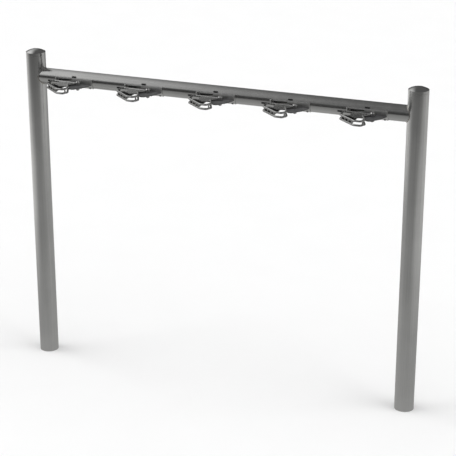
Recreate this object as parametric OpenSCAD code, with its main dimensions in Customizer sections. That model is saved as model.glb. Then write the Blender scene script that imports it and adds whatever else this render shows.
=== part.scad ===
// Swing-handle monkey bars: two round posts carry one round beam, and five
// stirrup handles turn on upright pivots in front of the beam.
// Origin: on the ground, midway between the posts. +X runs along the beam,
// -Y is the side that the handles reach out to, +Z is up. Millimetres.

/* [Posts] */
// Distance between the post centres
post_spacing = 2809; // [2700:1:3200]
// Outside diameter of a post tube
post_d = 139.7; // [127:0.1:168.3]
// Wall thickness of a post tube
post_wall = 4; // [3:0.1:6]
// Height of the post tube, up to the seam of its cap
post_h = 2329.5; // [2250:0.5:2600]
// Height of the straight skirt of a post cap
cap_skirt = 21; // [6:0.5:26]
// Rise of the dome above the skirt
cap_rise = 20; // [14:0.5:40]

/* [Foot plates] */
// Thickness of the plate inside the foot of a post
foot_t = 12; // [8:1:20]
// Pitch circle of the four anchor holes
anchor_pcd = 90; // [80:1:96]
// Diameter of an anchor hole
anchor_d = 17; // [13:0.5:18]

/* [Beam] */
// Outside diameter of the beam tube
beam_d = 114.3; // [108:0.1:120]
// Wall thickness of the beam tube
beam_wall = 4; // [3:0.1:6]
// Height of the beam axis above the ground
beam_z = 2178; // [2000:1:2200]
// Leg of the weld bead between beam and post
weld_leg = 4.6; // [3:0.1:6]

/* [Handle stations] */
// Distance from one station to the next
station_pitch = 539; // [480:1:560]
// Length of the saddle along the beam
saddle_l = 276; // [260:1:300]
// Thickness of the saddle shell
saddle_t = 4.6; // [4:0.1:5]

/* [Handles] */
// Pivot position to the right of the station's middle
pivot_x = 43; // [38:0.5:46]
// Pivot position in front of the beam axis
pivot_y = 94; // [92:0.5:98]
// Diameter of the pivot bolt
pivot_d = 16; // [12:0.5:18]
// Running clearance between bolt and bush, on the radius
bush_gap = 0.05; // [0.02:0.01:0.1]
// Diameter of a grip rod
rod_d = 14; // [12:0.5:14]
// Height of the upper rod loop against the beam axis
rod_up = -3.5; // [-3.5:0.5:-3]
// Height of the lower rod loop against the beam axis
rod_low = -33; // [-34:0.5:-33]
// Diameter of a spacer between the rod loops
spacer_d = 10; // [8:0.5:11]

/* [Hidden] */

$fn = 64;
post_r = post_d / 2;
beam_r = beam_d / 2;
saddle_in = beam_r + 0.1;
saddle_out = saddle_in + saddle_t;
rod_r = rod_d / 2;
px = pivot_x;
py = -pivot_y;
pr = pivot_d / 2;
// levels of the bracket plate, in the middle between the two rod loops
plate_top = -14;
plate_bot = -22;
eye_r = 20;
eye_up = [-11.5, 5];
eye_low = [-41.5, -24.5];
// edges of the saddle, as angles above the horizontal on the front of the beam
saddle_hi = 20;
saddle_lo = -62;
screw_phi = -50;
screw_x = [-115, -40, 40, 115];
plug_phi = 27;
plug_x = -4;
plug_l = 36;
plug_r = 6.4;

// corners of the loop's centre line, from the pivot round and back to it
loop = [[px, py], [-8, -146], [31, -232], [10, -273], [-38, -270], [-157, -168], [-157, -86], [px, py]];
loop_r = [0, 15, 20, 16, 30, 22, 20, 0];
// slope of the loop's long grip side
grip_slope = (loop[5][1] - loop[4][1]) / (loop[5][0] - loop[4][0]);

// stations along the beam
function sx(k) = (k - 3) * station_pitch;

// rounded polyline: tangent length and arc data at each corner
function unit(v) = v / norm(v);
function turn(i) = let(a = unit(loop[i] - loop[i - 1]), b = unit(loop[i + 1] - loop[i])) acos(a * b);
function cut(i) = (i == 0 || i == len(loop) - 1) ? 0 : loop_r[i] * tan(turn(i) / 2);
function side(i) = let(a = loop[i] - loop[i - 1], b = loop[i + 1] - loop[i]) sign(a[0] * b[1] - a[1] * b[0]);

module at_station(k) translate([sx(k), 0, beam_z]) children();

// places a child on the beam surface: its +Z points outward at phi above the front
module radial(x, phi) translate([x, 0, 0]) rotate([-phi, 0, 0]) rotate([90, 0, 0]) children();

// part of a shell round the beam between two angles
module shell(x0, x1, r0, r1, lo, hi)
    rotate([0, 90, 0]) rotate([0, 0, 270 - hi]) rotate_extrude(angle = hi - lo)
        translate([r0, x0]) square([r1 - r0, x1 - x0]);

// round rod along the loop's centre line at height z
module rod_loop(z, r) {
    n = len(loop);
    for (i = [0:n - 2]) {
        u = unit(loop[i + 1] - loop[i]);
        p = loop[i] + u * cut(i);
        q = loop[i + 1] - u * cut(i + 1);
        translate([p[0] - u[0] * 0.4, p[1] - u[1] * 0.4, z]) rotate([0, 0, atan2(u[1], u[0])]) rotate([0, 90, 0])
            cylinder(r = r, h = norm(q - p) + 0.8, $fn = 32);
    }
    for (i = [1:n - 2]) {
        a = unit(loop[i] - loop[i - 1]);
        s = side(i);
        // the arc's centre lies beside the first tangent point
        t = loop[i] - a * cut(i);
        c = t + loop_r[i] * s * [-a[1], a[0]];
        start = atan2(t[1] - c[1], t[0] - c[0]);
        translate([c[0], c[1], z]) rotate([0, 0, s > 0 ? start : start - turn(i)])
            rotate_extrude(angle = turn(i), $fn = 96) translate([loop_r[i], 0]) circle(r = r + 0.08, $fn = 32);
    }
}

module spacer(x, y) translate([x, y, rod_low]) cylinder(d = spacer_d, h = rod_up - rod_low, $fn = 24);

// outline of the bracket plate: a fin from the saddle to a rounded tip
module bracket_outline() {
    tip = [42, -172];
    tip_r = 28;
    polygon(concat([[saddle_l / 2 - 2, -50], [-46, -50]],
        [for (a = [190:8:342]) tip + tip_r * [cos(a), sin(a)]],
        [[110, -128]]));
}

module post(x) color("silver") translate([x, 0, 0]) difference() {
    cylinder(r = post_r, h = post_h, $fn = 96);
    translate([0, 0, -1]) cylinder(r = post_r - post_wall, h = post_h + 2, $fn = 96);
}

module cap(x) color("gainsboro") translate([x, 0, post_h]) {
    rs = (post_r * post_r + cap_rise * cap_rise) / (2 * cap_rise);
    rotate_extrude($fn = 96) difference() {
        union() {
            translate([0, 1.2]) square([post_r, cap_skirt - 1.2]);
            square([post_r - 1.2, cap_skirt]);
            translate([0, -28]) square([post_r - post_wall - 0.3, 28]);
            intersection() {
                translate([0, cap_skirt]) square([post_r, cap_rise + 1]);
                translate([0, cap_skirt + cap_rise - rs]) circle(r = rs, $fn = 192);
            }
        }
        translate([-200, -100]) square([200, 300]);
        translate([0, -29]) square([post_r - post_wall - 4, 29 + cap_skirt - 4]);
    }
}

module foot_plate(x) color("darkgray") translate([x, 0, 0]) difference() {
    cylinder(r = post_r - post_wall - 0.05, h = foot_t, $fn = 96);
    for (a = [45:90:315]) rotate([0, 0, a]) translate([anchor_pcd / 2, 0, -1]) cylinder(d = anchor_d, h = foot_t + 2, $fn = 48);
}

module beam() color("silver") difference() {
    translate([-post_spacing / 2, 0, beam_z]) rotate([0, 90, 0]) cylinder(r = beam_r, h = post_spacing, $fn = 96);
    translate([-post_spacing / 2 - 1, 0, beam_z]) rotate([0, 90, 0]) cylinder(r = beam_r - beam_wall, h = post_spacing + 2, $fn = 96);
    for (s = [-1, 1]) translate([s * post_spacing / 2, 0, beam_z - 100]) cylinder(r = post_r, h = 200, $fn = 96);
    for (k = [1:5]) at_station(k) {
        for (x = screw_x) radial(x, screw_phi) cylinder(r = 5.05, h = 70, $fn = 32);
        radial(plug_x, plug_phi) stadium(plug_l, plug_r, 40, 70);
    }
}

module stadium(l, r, z0, z1) translate([0, 0, z0]) linear_extrude(z1 - z0) {
    for (s = [-1, 1]) translate([s * (l / 2 - r), 0]) circle(r = r, $fn = 32);
    square([l - 2 * r, 2 * r], center = true);
}

module weld(s) color("darkgray") translate([s * post_spacing / 2, 0, beam_z]) difference() {
    intersection() {
        translate([0, 0, -80]) cylinder(r = post_r + weld_leg, h = 160, $fn = 96);
        rotate([0, -s * 90, 0]) cylinder(r = beam_r + weld_leg, h = 90, $fn = 96);
    }
    translate([0, 0, -90]) cylinder(r = post_r, h = 180, $fn = 96);
    rotate([0, -s * 90, 0]) translate([0, 0, -1]) cylinder(r = beam_r, h = 100, $fn = 96);
}

module saddle(k) color("darkgray") at_station(k) difference() {
    shell(-saddle_l / 2, saddle_l / 2, saddle_in, saddle_out, saddle_lo, saddle_hi);
    for (x = screw_x) radial(x, screw_phi) {
        cylinder(r = 5.3, h = 80, $fn = 32);
        translate([0, 0, saddle_out - 0.9]) cylinder(r = 9.6, h = 10, $fn = 32);
    }
}

module saddle_screws() color("silver") for (k = [1:5]) at_station(k) for (x = screw_x) radial(x, screw_phi) {
    translate([0, 0, 48]) cylinder(r = 5, h = saddle_out - 0.9 - 48, $fn = 32);
    difference() {
        translate([0, 0, saddle_out - 0.9]) cylinder(r1 = 9.2, r2 = 7, h = 5, $fn = 32);
        translate([0, 0, saddle_out + 1.6]) cylinder(r = 3.2, h = 4, $fn = 6);
    }
}

module slot_plugs() color("black") for (k = [1:5]) at_station(k) radial(plug_x, plug_phi)
    stadium(plug_l - 0.2, plug_r - 0.1, beam_r - beam_wall - 2, beam_r + 0.8);

module bracket(k) color("dimgray") at_station(k) difference() {
    union() {
        translate([0, 0, plate_bot]) linear_extrude(plate_top - plate_bot) bracket_outline();
        // peg under the plate that stops the outward swing
        translate([77, -110.6, plate_bot - 12]) cylinder(r = 6, h = 13, $fn = 32);
    }
    rotate([0, 90, 0]) translate([0, 0, -200]) cylinder(r = saddle_out + 0.02, h = 400, $fn = 96);
    translate([px, py, plate_bot - 5]) cylinder(r = pr + 0.03, h = 20, $fn = 48);
}

module stop_pin(k) color("gainsboro") at_station(k) difference() {
    union() {
        translate([-134.5, -71.3, -15]) cylinder(r = 8, h = 34, $fn = 48);
        translate([-134.5, -71.3, 19]) cylinder(r1 = 8, r2 = 6, h = 2, $fn = 48);
        translate([-141.5, -71.3, -9]) cube([14, 14, 18]);
    }
    rotate([0, 90, 0]) translate([0, 0, -200]) cylinder(r = saddle_out + 0.02, h = 400, $fn = 96);
}

module beam_buffer(k) color("black") at_station(k)
    shell(-208, -146, beam_r + 0.05, beam_r + 4, -20, -11);

module saddle_buffer(k) color("black") at_station(k) intersection() {
    shell(-116, -22, saddle_out + 0.05, saddle_out + 3.5, -12, 16);
    translate([0, 0, 0]) rotate([90, 0, 0]) linear_extrude(100)
        polygon([[-116, -6.3], [-22, 6.3], [-22, 12], [-116, 9.7]]);
}

module pivot_bolt(k) color("gainsboro") at_station(k) translate([px, py, 0]) {
    translate([0, 0, -54]) cylinder(r = pr, h = 54 + eye_up[1] + 0.4, $fn = 48);
    difference() {
        translate([0, 0, eye_up[1] + 0.4]) cylinder(r1 = 14, r2 = 10, h = 7, $fn = 48);
        translate([0, 0, eye_up[1] + 3.5]) cylinder(r = 5, h = 5, $fn = 6);
    }
}

module pivot_nuts() color("silver") for (k = [1:5]) at_station(k) translate([px, py, 0]) difference() {
    translate([0, 0, eye_low[0] - 9.4]) cylinder(r = 13.8, h = 9, $fn = 6);
    translate([0, 0, eye_low[0] - 12]) cylinder(r = pr + 0.03, h = 14, $fn = 48);
}

module eyes(k) color("silver") at_station(k) translate([px, py, 0]) for (e = [eye_up, eye_low]) difference() {
    translate([0, 0, e[0]]) cylinder(r = eye_r, h = e[1] - e[0], $fn = 64);
    translate([0, 0, e[0] - 1]) cylinder(r = 12.05, h = e[1] - e[0] + 2, $fn = 48);
}

module bush(z0, z1, f0) difference() {
    union() {
        translate([0, 0, z0]) cylinder(r = 12, h = z1 - z0, $fn = 48);
        translate([0, 0, f0]) cylinder(r = 16, h = 2.1, $fn = 48);
    }
    translate([0, 0, z0 - 5]) cylinder(r = pr + bush_gap, h = z1 - z0 + 10, $fn = 48);
}

module bushes(k) color("black") at_station(k) translate([px, py, 0]) {
    bush(eye_up[0], eye_up[1], eye_up[0] - 2.1);
    bush(eye_low[0], eye_low[1], eye_low[1]);
}

module grip(k) color("silver") at_station(k) difference() {
    union() {
        rod_loop(rod_up, rod_r);
        rod_loop(rod_low, rod_r);
        spacer(20.7, -252.1);
        for (x = [-50, -80, -110, -140]) spacer(x, loop[4][1] + (x - loop[4][0]) * grip_slope);
        spacer(-157, -125);
        spacer(-105, -86 - 8 * 52 / 200);
        // palm plate that stiffens the upper rod between its back and the pivot
        translate([0, 0, rod_up - 3.1]) linear_extrude(5.9)
            polygon([[-95, -92.3], [5, -96.4], [3, -131], [-7, -146], [3.5, -178], [9, -190], [-50, -207], [-78, -178], [-96, -130]]);
        // guard plate that closes the lower rod next to the stop pin
        translate([0, 0, rod_low - 3.3]) linear_extrude(5.2)
            polygon([[-54, -93.7], [-136, -90.4], [-150.1, -93.7], [-153.4, -110], [-153.4, -155], [-151.7, -165.6],
                [-143.7, -174.7], [-54.7, -251]]);
    }
    translate([px, py, -60]) cylinder(r = eye_r + 0.03, h = 90, $fn = 64);
}

post(-post_spacing / 2);  // post_left
post(post_spacing / 2);  // post_right
cap(-post_spacing / 2);  // cap_left
cap(post_spacing / 2);  // cap_right
foot_plate(-post_spacing / 2);  // foot_plate_left
foot_plate(post_spacing / 2);  // foot_plate_right
beam();
weld(-1);  // weld_left
weld(1);  // weld_right
saddle_screws();
pivot_nuts();
slot_plugs();
saddle(1);  // saddle_1
saddle(2);  // saddle_2
saddle(3);  // saddle_3
saddle(4);  // saddle_4
saddle(5);  // saddle_5
bracket(1);  // bracket_1
bracket(2);  // bracket_2
bracket(3);  // bracket_3
bracket(4);  // bracket_4
bracket(5);  // bracket_5
stop_pin(1);  // stop_pin_1
stop_pin(2);  // stop_pin_2
stop_pin(3);  // stop_pin_3
stop_pin(4);  // stop_pin_4
stop_pin(5);  // stop_pin_5
beam_buffer(1);  // beam_buffer_1
beam_buffer(2);  // beam_buffer_2
beam_buffer(3);  // beam_buffer_3
beam_buffer(4);  // beam_buffer_4
beam_buffer(5);  // beam_buffer_5
saddle_buffer(1);  // saddle_buffer_1
saddle_buffer(2);  // saddle_buffer_2
saddle_buffer(3);  // saddle_buffer_3
saddle_buffer(4);  // saddle_buffer_4
saddle_buffer(5);  // saddle_buffer_5
pivot_bolt(1);  // pivot_bolt_1
pivot_bolt(2);  // pivot_bolt_2
pivot_bolt(3);  // pivot_bolt_3
pivot_bolt(4);  // pivot_bolt_4
pivot_bolt(5);  // pivot_bolt_5
eyes(1);  // eyes_1
eyes(2);  // eyes_2
eyes(3);  // eyes_3
eyes(4);  // eyes_4
eyes(5);  // eyes_5
bushes(1);  // bushes_1
bushes(2);  // bushes_2
bushes(3);  // bushes_3
bushes(4);  // bushes_4
bushes(5);  // bushes_5
grip(1);  // grip_1
grip(2);  // grip_2
grip(3);  // grip_3
grip(4);  // grip_4
grip(5);  // grip_5
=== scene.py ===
import math

import bmesh
import bpy
from mathutils import Matrix, Vector


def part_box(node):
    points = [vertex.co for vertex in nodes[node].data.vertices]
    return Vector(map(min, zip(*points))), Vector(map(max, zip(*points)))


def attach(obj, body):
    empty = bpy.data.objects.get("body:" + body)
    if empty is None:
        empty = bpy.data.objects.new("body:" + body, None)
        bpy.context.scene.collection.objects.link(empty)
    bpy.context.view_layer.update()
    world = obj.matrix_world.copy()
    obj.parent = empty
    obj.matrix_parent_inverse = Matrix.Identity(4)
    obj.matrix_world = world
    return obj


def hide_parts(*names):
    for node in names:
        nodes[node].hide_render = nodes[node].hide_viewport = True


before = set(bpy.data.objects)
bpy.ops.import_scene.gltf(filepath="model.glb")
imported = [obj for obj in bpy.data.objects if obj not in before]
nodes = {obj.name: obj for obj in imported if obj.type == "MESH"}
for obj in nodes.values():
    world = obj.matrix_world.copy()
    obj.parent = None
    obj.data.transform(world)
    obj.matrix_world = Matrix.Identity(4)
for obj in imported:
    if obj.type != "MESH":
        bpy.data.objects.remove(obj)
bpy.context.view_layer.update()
scene = bpy.context.scene

# ---------------------------------------------------------------- node helpers


class Net:
    """Small helper that lays out a node tree and links by position."""

    def __init__(self, tree):
        self.t = tree
        self.n = 0

    def add(self, kind, **props):
        node = self.t.nodes.new(kind)
        node.location = (220 * (self.n % 9), -260 * (self.n // 9))
        self.n += 1
        for k, v in props.items():
            setattr(node, k, v)
        return node

    def put(self, value, socket):
        if isinstance(value, bpy.types.NodeSocket):
            self.t.links.new(value, socket)
        elif isinstance(value, bpy.types.Node):
            self.t.links.new(value.outputs[0], socket)
        else:
            socket.default_value = value

    def math(self, op, a, b=None, c=None, clamp=False):
        n = self.add("ShaderNodeMath", operation=op, use_clamp=clamp)
        self.put(a, n.inputs[0])
        if b is not None:
            self.put(b, n.inputs[1])
        if c is not None:
            self.put(c, n.inputs[2])
        return n.outputs[0]

    def vmath(self, op, a, b=None, out=0):
        n = self.add("ShaderNodeVectorMath", operation=op)
        self.put(a, n.inputs[0])
        if b is not None:
            self.put(b, n.inputs[1])
        return n.outputs[out]

    def ramp(self, v, a, b, lo=0.0, hi=1.0, mode="SMOOTHSTEP"):
        n = self.add("ShaderNodeMapRange", interpolation_type=mode)
        self.put(v, n.inputs[0])
        n.inputs[1].default_value = a
        n.inputs[2].default_value = b
        n.inputs[3].default_value = lo
        n.inputs[4].default_value = hi
        return n.outputs[0]

    def noise(self, vec, scale, detail=4.0, rough=0.5, distort=0.0):
        n = self.add("ShaderNodeTexNoise")
        self.put(vec, n.inputs["Vector"])
        n.inputs["Scale"].default_value = scale
        n.inputs["Detail"].default_value = detail
        n.inputs["Roughness"].default_value = rough
        n.inputs["Distortion"].default_value = distort
        return n.outputs[0]

    def stretch(self, vec, sx, sy, sz):
        n = self.add("ShaderNodeMapping")
        self.put(vec, n.inputs["Vector"])
        n.inputs["Scale"].default_value = (sx, sy, sz)
        return n.outputs[0]

    def mixc(self, f, a, b, mode="MIX"):
        n = self.add("ShaderNodeMix", data_type="RGBA", blend_type=mode)
        self.put(f, n.inputs[0])
        self.put(a, n.inputs[6])
        self.put(b, n.inputs[7])
        return n.outputs[2]

    def bump(self, h, strength, dist, normal=None):
        n = self.add("ShaderNodeBump")
        n.inputs["Strength"].default_value = strength
        n.inputs["Distance"].default_value = dist
        self.put(h, n.inputs["Height"])
        if normal is not None:
            self.put(normal, n.inputs["Normal"])
        return n.outputs[0]


def grey(v, tint=(1.0, 1.0, 1.0)):
    return (v * tint[0], v * tint[1], v * tint[2], 1.0)


def material(name, metallic=1.0):
    m = bpy.data.materials.new(name)
    m.use_nodes = True
    net = Net(m.node_tree)
    bsdf = m.node_tree.nodes["Principled BSDF"]
    bsdf.inputs["Metallic"].default_value = metallic
    where = net.add("ShaderNodeTexCoord").outputs["Object"]
    return m, net, bsdf, where


STEEL = (1.0, 1.0, 0.985)


def brushed_steel(name, grain, base=0.55, rough=0.2, spread=0.07):
    """Brushed tube: long fine lines along the tube, faint mill marks and blotches."""
    m, net, bsdf, where = material(name)
    fine = net.noise(net.stretch(where, *grain), 1.0, 6.0, 0.62)
    lines = net.noise(net.stretch(where, *[g * 0.32 for g in grain]), 1.0, 3.0, 0.55)
    cloud = net.noise(where, 3.1, 4.0, 0.55)
    handled = net.noise(where, 17.0, 5.0, 0.6, 0.4)
    tone = net.math("ADD", net.math("MULTIPLY", fine, 0.55), net.math("MULTIPLY", cloud, 0.45))
    t = net.ramp(tone, 0.34, 0.66)
    net.put(net.mixc(t, grey(base * 0.93, STEEL), grey(base * 1.06, STEEL)), bsdf.inputs["Base Color"])
    r = net.math("ADD", net.math("MULTIPLY", lines, 0.6), net.math("MULTIPLY", handled, 0.4))
    net.put(net.ramp(r, 0.3, 0.7, rough - spread / 2, rough + spread), bsdf.inputs["Roughness"])
    net.put(net.bump(fine, 0.06, 0.0006), bsdf.inputs["Normal"])
    return m


def satin_steel(name, base=0.5, rough=0.24, scale=900.0, strength=0.05):
    m, net, bsdf, where = material(name)
    fine = net.noise(where, scale, 3.0, 0.6)
    worn = net.noise(where, 46.0, 5.0, 0.65, 0.6)
    net.put(net.mixc(net.ramp(worn, 0.35, 0.68), grey(base * 0.9, STEEL), grey(base * 1.08, STEEL)),
            bsdf.inputs["Base Color"])
    net.put(net.ramp(worn, 0.3, 0.72, rough + 0.05, rough - 0.05), bsdf.inputs["Roughness"])
    net.put(net.bump(fine, strength, 0.0004), bsdf.inputs["Normal"])
    return m


def polished_cap(name, base=0.5, rough=0.13):
    """Spun dome: turning rings round the middle of each post, thin polish haze."""
    m, net, bsdf, where = material(name)
    sep = net.add("ShaderNodeSeparateXYZ")
    net.put(where, sep.inputs[0])
    x = net.math("SUBTRACT", net.math("ABSOLUTE", sep.outputs[0]), 1.4045)
    rad = net.math("SQRT", net.math("ADD", net.math("MULTIPLY", x, x), net.math("MULTIPLY", sep.outputs[1], sep.outputs[1])))
    comb = net.add("ShaderNodeCombineXYZ")
    net.put(net.math("MULTIPLY", rad, 900.0), comb.inputs[0])
    net.put(net.math("MULTIPLY", sep.outputs[2], 900.0), comb.inputs[1])
    rings = net.noise(comb.outputs[0], 1.0, 4.0, 0.6)
    haze = net.noise(where, 24.0, 4.0, 0.6, 0.5)
    net.put(net.mixc(net.ramp(haze, 0.3, 0.7), grey(base * 0.93, STEEL), grey(base * 1.05, STEEL)),
            bsdf.inputs["Base Color"])
    net.put(net.ramp(net.math("ADD", net.math("MULTIPLY", rings, 0.5), net.math("MULTIPLY", haze, 0.5)), 0.3, 0.7,
                     rough - 0.03, rough + 0.06), bsdf.inputs["Roughness"])
    net.put(net.bump(rings, 0.05, 0.0004), bsdf.inputs["Normal"])
    return m


def blasted_steel(name, base=0.66, rough=0.44):
    """Bead-blasted casting: fine dimples, a little darker in the blotches, brighter where handled."""
    m, net, bsdf, where = material(name)
    grit = net.noise(where, 1500.0, 2.0, 0.6)
    dimple = net.add("ShaderNodeTexVoronoi", feature="SMOOTH_F1")
    net.put(where, dimple.inputs["Vector"])
    dimple.inputs["Scale"].default_value = 900.0
    cloud = net.noise(where, 34.0, 5.0, 0.62, 0.5)
    net.put(net.mixc(net.ramp(cloud, 0.32, 0.7), grey(base * 0.85, STEEL), grey(base * 1.1, STEEL)),
            bsdf.inputs["Base Color"])
    net.put(net.ramp(cloud, 0.3, 0.7, rough + 0.06, rough - 0.05), bsdf.inputs["Roughness"])
    h = net.math("ADD", net.math("MULTIPLY", grit, 0.5), net.math("MULTIPLY", dimple.outputs[0], 0.5))
    net.put(net.bump(h, 0.16, 0.0005), bsdf.inputs["Normal"])
    return m


def weld_metal(name):
    """Cleaned weld: straw and blue tint that follows the bead, grainy ripples."""
    m, net, bsdf, where = material(name)
    tint = net.noise(where, 60.0, 3.0, 0.6, 0.8)
    warm = net.mixc(net.ramp(tint, 0.4, 0.66), (0.42, 0.42, 0.41, 1), (0.36, 0.31, 0.25, 1))
    cold = net.mixc(net.ramp(net.noise(where, 31.0, 3.0, 0.5), 0.56, 0.72), warm, (0.26, 0.29, 0.34, 1))
    net.put(cold, bsdf.inputs["Base Color"])
    grain = net.noise(where, 700.0, 3.0, 0.6)
    net.put(net.ramp(grain, 0.3, 0.7, 0.26, 0.42), bsdf.inputs["Roughness"])
    net.put(net.bump(grain, 0.12, 0.0005), bsdf.inputs["Normal"])
    return m


def powder_coat(name, base=0.052, rough=0.42):
    """Dark powder coat: orange peel, slight tone change, chalkier where it wears."""
    m, net, bsdf, where = material(name, 0.0)
    peel = net.noise(where, 420.0, 2.0, 0.5)
    fade = net.noise(where, 22.0, 4.0, 0.6, 0.4)
    net.put(net.mixc(net.ramp(fade, 0.3, 0.72), grey(base * 0.8, (1, 1, 1.02)), grey(base * 1.25, (1, 1, 1.02))),
            bsdf.inputs["Base Color"])
    net.put(net.ramp(fade, 0.3, 0.7, rough - 0.05, rough + 0.1), bsdf.inputs["Roughness"])
    net.put(net.bump(peel, 0.12, 0.0008), bsdf.inputs["Normal"])
    return m


def rubber_mat(name, base=0.010):
    m, net, bsdf, where = material(name, 0.0)
    bsdf.inputs["Specular IOR Level"].default_value = 0.22
    pores = net.noise(where, 1300.0, 3.0, 0.65)
    bloom = net.noise(where, 90.0, 4.0, 0.6, 0.5)
    net.put(net.mixc(net.ramp(bloom, 0.3, 0.75), grey(base * 0.8), grey(base * 1.7)), bsdf.inputs["Base Color"])
    net.put(net.ramp(bloom, 0.3, 0.7, 0.62, 0.8), bsdf.inputs["Roughness"])
    net.put(net.bump(pores, 0.2, 0.0005), bsdf.inputs["Normal"])
    return m


def polymer_mat(name):
    m, net, bsdf, where = material(name, 0.0)
    grain = net.noise(where, 800.0, 3.0, 0.6)
    flow = net.noise(where, 70.0, 3.0, 0.6, 1.2)
    net.put(net.mixc(net.ramp(flow, 0.35, 0.7), grey(0.10, (1, 1, 1.01)), grey(0.16, (1, 1, 1.01))), bsdf.inputs["Base Color"])
    net.put(net.ramp(flow, 0.3, 0.7, 0.34, 0.48), bsdf.inputs["Roughness"])
    net.put(net.bump(grain, 0.08, 0.0004), bsdf.inputs["Normal"])
    return m


def floor_mat(name):
    m, net, bsdf, where = material(name, 0.0)
    fleck = net.noise(where, 2.2, 3.0, 0.5)
    net.put(net.mixc(fleck, (0.80, 0.80, 0.80, 1), (0.82, 0.82, 0.82, 1)), bsdf.inputs["Base Color"])
    net.put(net.ramp(fleck, 0.3, 0.7, 0.85, 0.95), bsdf.inputs["Roughness"])
    return m


def emission_mat(name):
    m = bpy.data.materials.new(name)
    m.use_nodes = True
    net = Net(m.node_tree)
    for n in list(m.node_tree.nodes):
        m.node_tree.nodes.remove(n)
    out = net.add("ShaderNodeOutputMaterial")
    em = net.add("ShaderNodeEmission")
    m.node_tree.links.new(em.outputs[0], out.inputs[0])
    m.cycles.emission_sampling = "NONE"
    return m, net, em


POST = brushed_steel("post_brushed", (260.0, 260.0, 1.6))
BEAM = brushed_steel("beam_brushed", (1.6, 260.0, 260.0))
CAP = polished_cap("cap_polished")
BOLT = satin_steel("bolt_polished", 0.52, 0.16, 1500.0, 0.02)
ROD = satin_steel("rod_satin", 0.43, 0.24)
EYE = satin_steel("eye_satin", 0.5, 0.26)
BLAST = blasted_steel("saddle_blasted")
WELD = weld_metal("weld_bead")
COAT = powder_coat("bracket_coat")
RUB = rubber_mat("rubber_black")
POLY = polymer_mat("polymer_bush")

for name, obj in nodes.items():
    stem = name.rstrip("0123456789").rstrip("_")
    mat = {
        "post_left": POST, "post_right": POST, "cap_left": CAP, "cap_right": CAP,
        "foot_plate_left": BLAST, "foot_plate_right": BLAST, "beam": BEAM, "weld_left": WELD, "weld_right": WELD,
        "saddle_screws": BOLT, "pivot_nuts": BOLT, "slot_plugs": RUB, "saddle": BLAST, "bracket": COAT,
        "stop_pin": BOLT, "beam_buffer": RUB, "saddle_buffer": RUB, "pivot_bolt": BOLT, "eyes": EYE,
        "bushes": POLY, "grip": ROD,
    }[stem]
    if not obj.data.materials:
        obj.data.materials.append(mat)
    for i in range(len(obj.data.materials)):
        obj.data.materials[i] = mat

# ---------------------------------------------------------------- detail pieces


def new_object(name, bm, mat, smooth=True):
    bmesh.ops.recalc_face_normals(bm, faces=bm.faces)
    me = bpy.data.meshes.new(name)
    bm.to_mesh(me)
    bm.free()
    me.materials.append(mat)
    if smooth:
        for poly in me.polygons:
            poly.use_smooth = True
    ob = bpy.data.objects.new(name, me)
    scene.collection.objects.link(ob)
    return ob


def sweep(bm, path, normals, rings, closed=True):
    """Tube along path. rings(i) gives the section as (along the outward normal, along the binormal) pairs."""
    n = len(path)
    rows = []
    for i in range(n):
        a, b = path[(i - 1) % n], path[(i + 1) % n]
        if not closed:
            a, b = path[max(i - 1, 0)], path[min(i + 1, n - 1)]
        t = (b - a).normalized()
        nn = (normals[i] - t * normals[i].dot(t)).normalized()
        bb = t.cross(nn)
        rows.append([bm.verts.new(path[i] + nn * u + bb * v) for u, v in rings(i)])
    m = len(rows[0])
    last = n if closed else n - 1
    for i in range(last):
        r0, r1 = rows[i], rows[(i + 1) % n]
        for j in range(m):
            bm.faces.new((r0[j], r0[(j + 1) % m], r1[(j + 1) % m], r1[j]))
    if not closed:
        bm.faces.new(rows[0][::-1])
        bm.faces.new(rows[-1])


def weld_bead(side, name, node):
    """Rippled fillet weld that follows the joint of beam and post all the way round."""
    lo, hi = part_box("beam")
    zb = (lo.z + hi.z) / 2
    rb = 0.05715
    rp = 0.06985
    xc = side * 1.4045
    n = 560
    path, normals = [], []
    for i in range(n):
        a = 2 * math.pi * i / n
        y, z = rb * math.cos(a), rb * math.sin(a)
        x = math.sqrt(rp * rp - y * y)
        out_beam = Vector((0, math.cos(a), math.sin(a)))
        out_post = Vector((-side * x, y, 0)).normalized()
        mid = (out_beam + out_post).normalized()
        path.append(Vector((xc - side * x, y, zb + z)) + mid * 0.0009)
        normals.append(mid)

    def section(i):
        ripple = 0.5 + 0.5 * math.cos(2 * math.pi * ((i * 70 / n) % 1.0))
        wob = math.sin(i * 0.071) * 0.00022 + math.sin(i * 0.213 + 1.7) * 0.00014
        r = 0.0036 + wob + 0.00036 * ripple
        out = []
        for j in range(16):
            t = 2 * math.pi * j / 16
            out.append((r * 0.72 * math.cos(t), r * 1.08 * math.sin(t)))
        return out

    bm = bmesh.new()
    sweep(bm, path, normals, section)
    ob = new_object(name, bm, WELD)
    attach(ob, "frame")
    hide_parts(node)
    return ob


weld_bead(-1, "weld_bead_left", "weld_left")
weld_bead(1, "weld_bead_right", "weld_right")


def cap_seam(side, name):
    """Fine dressed weld line in the groove between a post and its cap."""
    rp = 0.06985
    n = 420
    path, normals = [], []
    for i in range(n):
        a = 2 * math.pi * i / n
        path.append(Vector((side * 1.4045 + (rp - 0.0011) * math.cos(a), (rp - 0.0011) * math.sin(a), 2.3301)))
        normals.append(Vector((math.cos(a), math.sin(a), 0)))

    def section(i):
        k = 0.00088 + 0.00008 * math.cos(i * 2 * math.pi * 60 / n) + 0.00005 * math.sin(i * 0.11)
        return [(k * math.cos(2 * math.pi * j / 8), k * 0.9 * math.sin(2 * math.pi * j / 8)) for j in range(8)]

    bm = bmesh.new()
    sweep(bm, path, normals, section)
    ob = new_object(name, bm, WELD)
    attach(ob, "frame")


cap_seam(-1, "cap_seam_left")
cap_seam(1, "cap_seam_right")

PITCH = 0.539
BEAM_Z = 2.178


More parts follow.
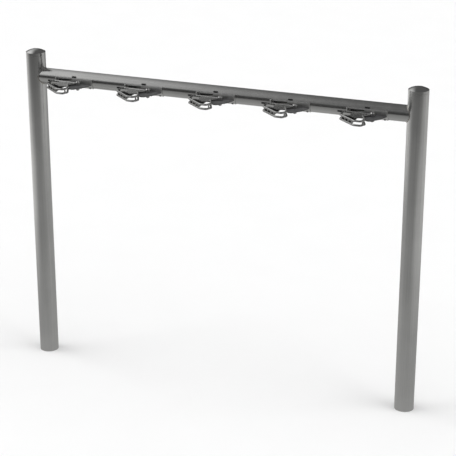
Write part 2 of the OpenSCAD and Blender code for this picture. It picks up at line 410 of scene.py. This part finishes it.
def rounded(bm, faces_height, outline, z0, z1, edge):
    """Closed slab over an outline with a small rounded upper and lower edge."""
    cx = sum(p[0] for p in outline) / len(outline)
    cy = sum(p[1] for p in outline) / len(outline)

    def ring(shrink, z):
        out = []
        for x, y in outline:
            d = Vector((cx - x, cy - y, 0))
            out.append(bm.verts.new(Vector((x, y, z)) + d.normalized() * shrink))
        return out

    rows = [ring(edge, z0), ring(edge * 0.3, z0 + edge * 0.3), ring(0, z0 + edge), ring(0, z1 - edge),
            ring(edge * 0.3, z1 - edge * 0.3), ring(edge, z1)]
    n = len(outline)
    for a, b in zip(rows, rows[1:]):
        for j in range(n):
            bm.faces.new((a[j], a[(j + 1) % n], b[(j + 1) % n], b[j]))
    bm.faces.new(rows[0][::-1])
    bm.faces.new(rows[-1])


def guard_mat(k):
    """Moulded rubber mat on the guard plate, with raised square studs."""
    x0 = (k - 3) * PITCH
    top = BEAM_Z - 0.0311 + 0.00002
    mm = [(-60, -99.5), (-136, -96.4), (-145.6, -101), (-148.2, -112), (-148.2, -153), (-145.6, -161.6), (-139, -167.6), (-60, -236)]
    outline = [(x0 + x / 1000, y / 1000) for x, y in mm]
    bm = bmesh.new()
    rounded(bm, None, outline, top, top + 0.0022, 0.0006)
    lo_y, hi_y = -0.250, -0.096
    step = 0.0135
    y = hi_y - 0.010
    row = 0
    while y > lo_y:
        x = -0.141 + (0.5 * step if row % 2 else 0.0)
        while x < -0.064:
            ok = True
            for cx, cy in ((x - 0.0048, y - 0.0048), (x + 0.0048, y - 0.0048), (x - 0.0048, y + 0.0048), (x + 0.0048, y + 0.0048)):
                inside = -0.1465 < cx < -0.0620 and cy < -0.1005 and (cy > -0.236 + (-0.060 - cx) * 0.866 + 0.002)
                if cx < -0.1405 and not (-0.155 < cy < -0.108):
                    inside = False
                ok = ok and inside
            if ok:
                h = 0.0048
                q = [(x0 + x - h, y - h * 0.55), (x0 + x - h * 0.55, y - h), (x0 + x + h * 0.55, y - h), (x0 + x + h, y - h * 0.55),
                     (x0 + x + h, y + h * 0.55), (x0 + x + h * 0.55, y + h), (x0 + x - h * 0.55, y + h), (x0 + x - h, y + h * 0.55)]
                rounded(bm, None, q, top + 0.0018, top + 0.0040, 0.0005)
            x += step
        y -= step
        row += 1
    ob = new_object(f"guard_mat_{k}", bm, RUB, smooth=False)
    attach(ob, f"handle_{k}")


def lathe(name, profile, origin, mat, segments=40, smooth=True):
    """Turned piece about an upright axis; profile is (radius, height) from bottom middle to top middle."""
    bm = bmesh.new()
    rows = []
    for r, z in profile:
        if r == 0:
            rows.append([bm.verts.new((origin[0], origin[1], origin[2] + z))])
        else:
            rows.append([bm.verts.new((origin[0] + r * math.cos(2 * math.pi * i / segments),
                                       origin[1] + r * math.sin(2 * math.pi * i / segments), origin[2] + z))
                         for i in range(segments)])
    for a, b in zip(rows, rows[1:]):
        for i in range(segments):
            j = (i + 1) % segments
            if len(a) == 1:
                bm.faces.new((a[0], b[j], b[i]))
            elif len(b) == 1:
                bm.faces.new((a[i], a[j], b[0]))
            else:
                bm.faces.new((a[i], a[j], b[j], b[i]))
    return new_object(name, bm, mat, smooth)


def bolt_end(k):
    """Threaded tail of the pivot bolt below its nut, with a chamfered tip."""
    x0 = (k - 3) * PITCH + 0.043
    prof = [(0, -0.0552), (0.0062, -0.0552), (0.0071, -0.0545)]
    z = -0.0545
    while z < -0.0515:
        prof += [(0.0081, z + 0.0004), (0.00815, z + 0.0006), (0.00725, z + 0.0010)]
        z += 0.0010
    prof += [(0, z + 0.0001)]
    ob = lathe(f"bolt_thread_{k}", prof, (x0, -0.094, BEAM_Z), BOLT)
    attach(ob, "frame")


def spacer_welds(k):
    """Small weld collars where each spacer meets the two rods of a grip."""
    x0 = (k - 3) * PITCH
    slope = (-168 + 270) / (-157 + 38)
    spots = [(20.7, -252.1), (-157, -125), (-105, -88.08)]
    spots += [(x, -270 + (x + 38) * slope) for x in (-50, -80, -110, -140)]
    bm = bmesh.new()
    for x, y in spots:
        for zc, s in ((-3.5, -1), (-33.0, 1)):
            n = 40
            rows = []
            for i in range(n):
                a = 2 * math.pi * i / n
                # each collar ring lies flat, at one height all the way round the spacer
                rr = 0.0050 + 0.00055
                cx, cy = (x0 * 1000 + x) / 1000 + rr * math.cos(a), y / 1000 + rr * math.sin(a)
                rows.append((cx, cy, a))
            m = 8
            grid = []
            for cx, cy, a in rows:
                rip = 0.00082 + 0.00010 * math.cos(a * 11)
                off = 0.0052 * 1.0
                z = (BEAM_Z * 1000 + zc) / 1000 + s * off
                grid.append([bm.verts.new((cx + rip * math.cos(a) * math.cos(2 * math.pi * j / m),
                                           cy + rip * math.sin(a) * math.cos(2 * math.pi * j / m),
                                           z + rip * 1.5 * math.sin(2 * math.pi * j / m))) for j in range(m)])
            for i in range(n):
                r0, r1 = grid[i], grid[(i + 1) % n]
                for j in range(m):
                    bm.faces.new((r0[j], r0[(j + 1) % m], r1[(j + 1) % m], r1[j]))
    ob = new_object(f"spacer_welds_{k}", bm, WELD)
    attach(ob, f"handle_{k}")


for k in range(1, 6):
    guard_mat(k)
    bolt_end(k)
    spacer_welds(k)

# ---------------------------------------------------------------- floor and light

def disc(name, radius, z, mat, n=96):
    bm = bmesh.new()
    bmesh.ops.create_circle(bm, cap_ends=True, radius=radius, segments=n)
    me = bpy.data.meshes.new(name)
    bm.to_mesh(me)
    bm.free()
    ob = bpy.data.objects.new(name, me)
    ob.location = (0, 0, z)
    scene.collection.objects.link(ob)
    me.materials.append(mat)
    return ob


floor = disc("floor", 70.0, 0.0, floor_mat("floor_pale"))
floor.visible_glossy = False

# what the metal sees of the floor: pale below, falling off toward the camera, brighter out at both sides
m, net, em = emission_mat("floor_reflection")
where = net.add("ShaderNodeTexCoord").outputs["Object"]
sep = net.add("ShaderNodeSeparateXYZ")
net.put(where, sep.inputs[0])
X, Y = sep.outputs[0], sep.outputs[1]
out_x = net.math("MAXIMUM", net.math("SUBTRACT", net.math("ABSOLUTE", X), 1.4), 0.0)
front = net.math("SQRT", net.math("ADD", net.math("MULTIPLY", out_x, out_x), net.math("MULTIPLY", Y, Y)))
near = net.math("EXPONENT", net.math("MULTIPLY", front, -0.45))
far = net.ramp(front, 4.5, 14.0, 0.285, 0.025)
base = net.math("MULTIPLY_ADD", near, 0.20, far)
back = net.math("MULTIPLY", net.ramp(Y, 0.0, 3.0), 0.12)
left = net.math("MULTIPLY", net.ramp(net.math("MULTIPLY", X, -1.0), 1.8, 5.0), net.ramp(Y, -6.8, 1.0))
right = net.math("MULTIPLY", net.ramp(X, 2.0, 4.5), net.ramp(Y, -5.5, -1.5))
v = net.math("ADD", base, back)
v = net.math("MULTIPLY_ADD", left, 0.5, v)
v = net.math("MULTIPLY_ADD", right, 0.24, v)
net.put(v, em.inputs["Strength"])
em.inputs["Color"].default_value = (1, 1, 0.99, 1)
mirror = disc("floor_seen_in_metal", 60.0, -0.004, m)
mirror.visible_camera = False
mirror.visible_diffuse = False
mirror.visible_shadow = False
mirror.visible_transmission = False

# plain backdrop far away, for low views only
m, net, em = emission_mat("backdrop_white")
em.inputs["Strength"].default_value = 1.0
bm = bmesh.new()
bmesh.ops.create_uvsphere(bm, u_segments=48, v_segments=24, radius=68.0)
me = bpy.data.meshes.new("backdrop")
bm.to_mesh(me)
bm.free()
dome = bpy.data.objects.new("backdrop", me)
scene.collection.objects.link(dome)
me.materials.append(m)
dome.visible_glossy = False
dome.visible_diffuse = False
dome.visible_shadow = False
dome.visible_transmission = False

# studio light as the metal sees it: a large soft panel on the left, dim sky, dark horizon
world = bpy.data.worlds.new("studio")
scene.world = world
world.use_nodes = True
net = Net(world.node_tree)
bg = world.node_tree.nodes["Background"]
direction = net.add("ShaderNodeTexCoord").outputs["Generated"]
sep = net.add("ShaderNodeSeparateXYZ")
net.put(net.vmath("NORMALIZE", direction), sep.inputs[0])
dx, dy, dz = sep.outputs[0], sep.outputs[1], sep.outputs[2]
up = net.ramp(dz, 0.12, 0.52)
behind = net.ramp(dy, -0.1, 0.75, 1.0, 0.55)
panel = net.math("MULTIPLY", net.ramp(net.math("MULTIPLY", dx, -1.0), 0.25, 0.62), net.math("MULTIPLY", up, behind))
right = net.math("MULTIPLY", net.ramp(dx, 0.3, 0.8), up)
v = net.math("MULTIPLY_ADD", up, 0.08, 0.065)
v = net.math("MULTIPLY_ADD", panel, 1.35, v)
v = net.math("MULTIPLY_ADD", right, 0.35, v)
net.put(v, bg.inputs["Strength"])
bg.inputs["Color"].default_value = (1, 1, 1, 1)
world.cycles_visibility.diffuse = False
world.cycles_visibility.camera = False


def sun(name, azimuth, elevation, strength, angle):
    li = bpy.data.lights.new(name, "SUN")
    li.energy = strength
    li.angle = math.radians(angle)
    ob = bpy.data.objects.new(name, li)
    a, e = math.radians(azimuth), math.radians(elevation)
    d = Vector((math.cos(a) * math.cos(e), math.sin(a) * math.cos(e), math.sin(e)))
    ob.rotation_euler = d.to_track_quat("Z", "Y").to_euler()
    ob.location = d * 8.0
    scene.collection.objects.link(ob)
    ob.visible_glossy = False
    return ob


sun("sky_high", -60.0, 78.0, 2.58, 110.0)
sun("soft_left", 190.0, 30.0, 1.45, 55.0)
sun("soft_right", -4.0, 30.0, 1.3, 55.0)

# ---------------------------------------------------------------- camera

cam_data = bpy.data.cameras.new("camera")
cam_data.lens = 119.74
cam_data.sensor_width = 36.0
cam_data.clip_end = 300.0
cam = bpy.data.objects.new("camera", cam_data)
cam.location = (3.5836, -9.4462, 5.1177)
cam.rotation_euler = (math.radians(90.0 - 21.283), 0.0, math.radians(20.421))
scene.collection.objects.link(cam)
scene.camera = cam
scene.view_settings.view_transform = "Standard"
scene.view_settings.look = "None"
scene.view_settings.exposure = 0.0
scene.view_settings.gamma = 1.0
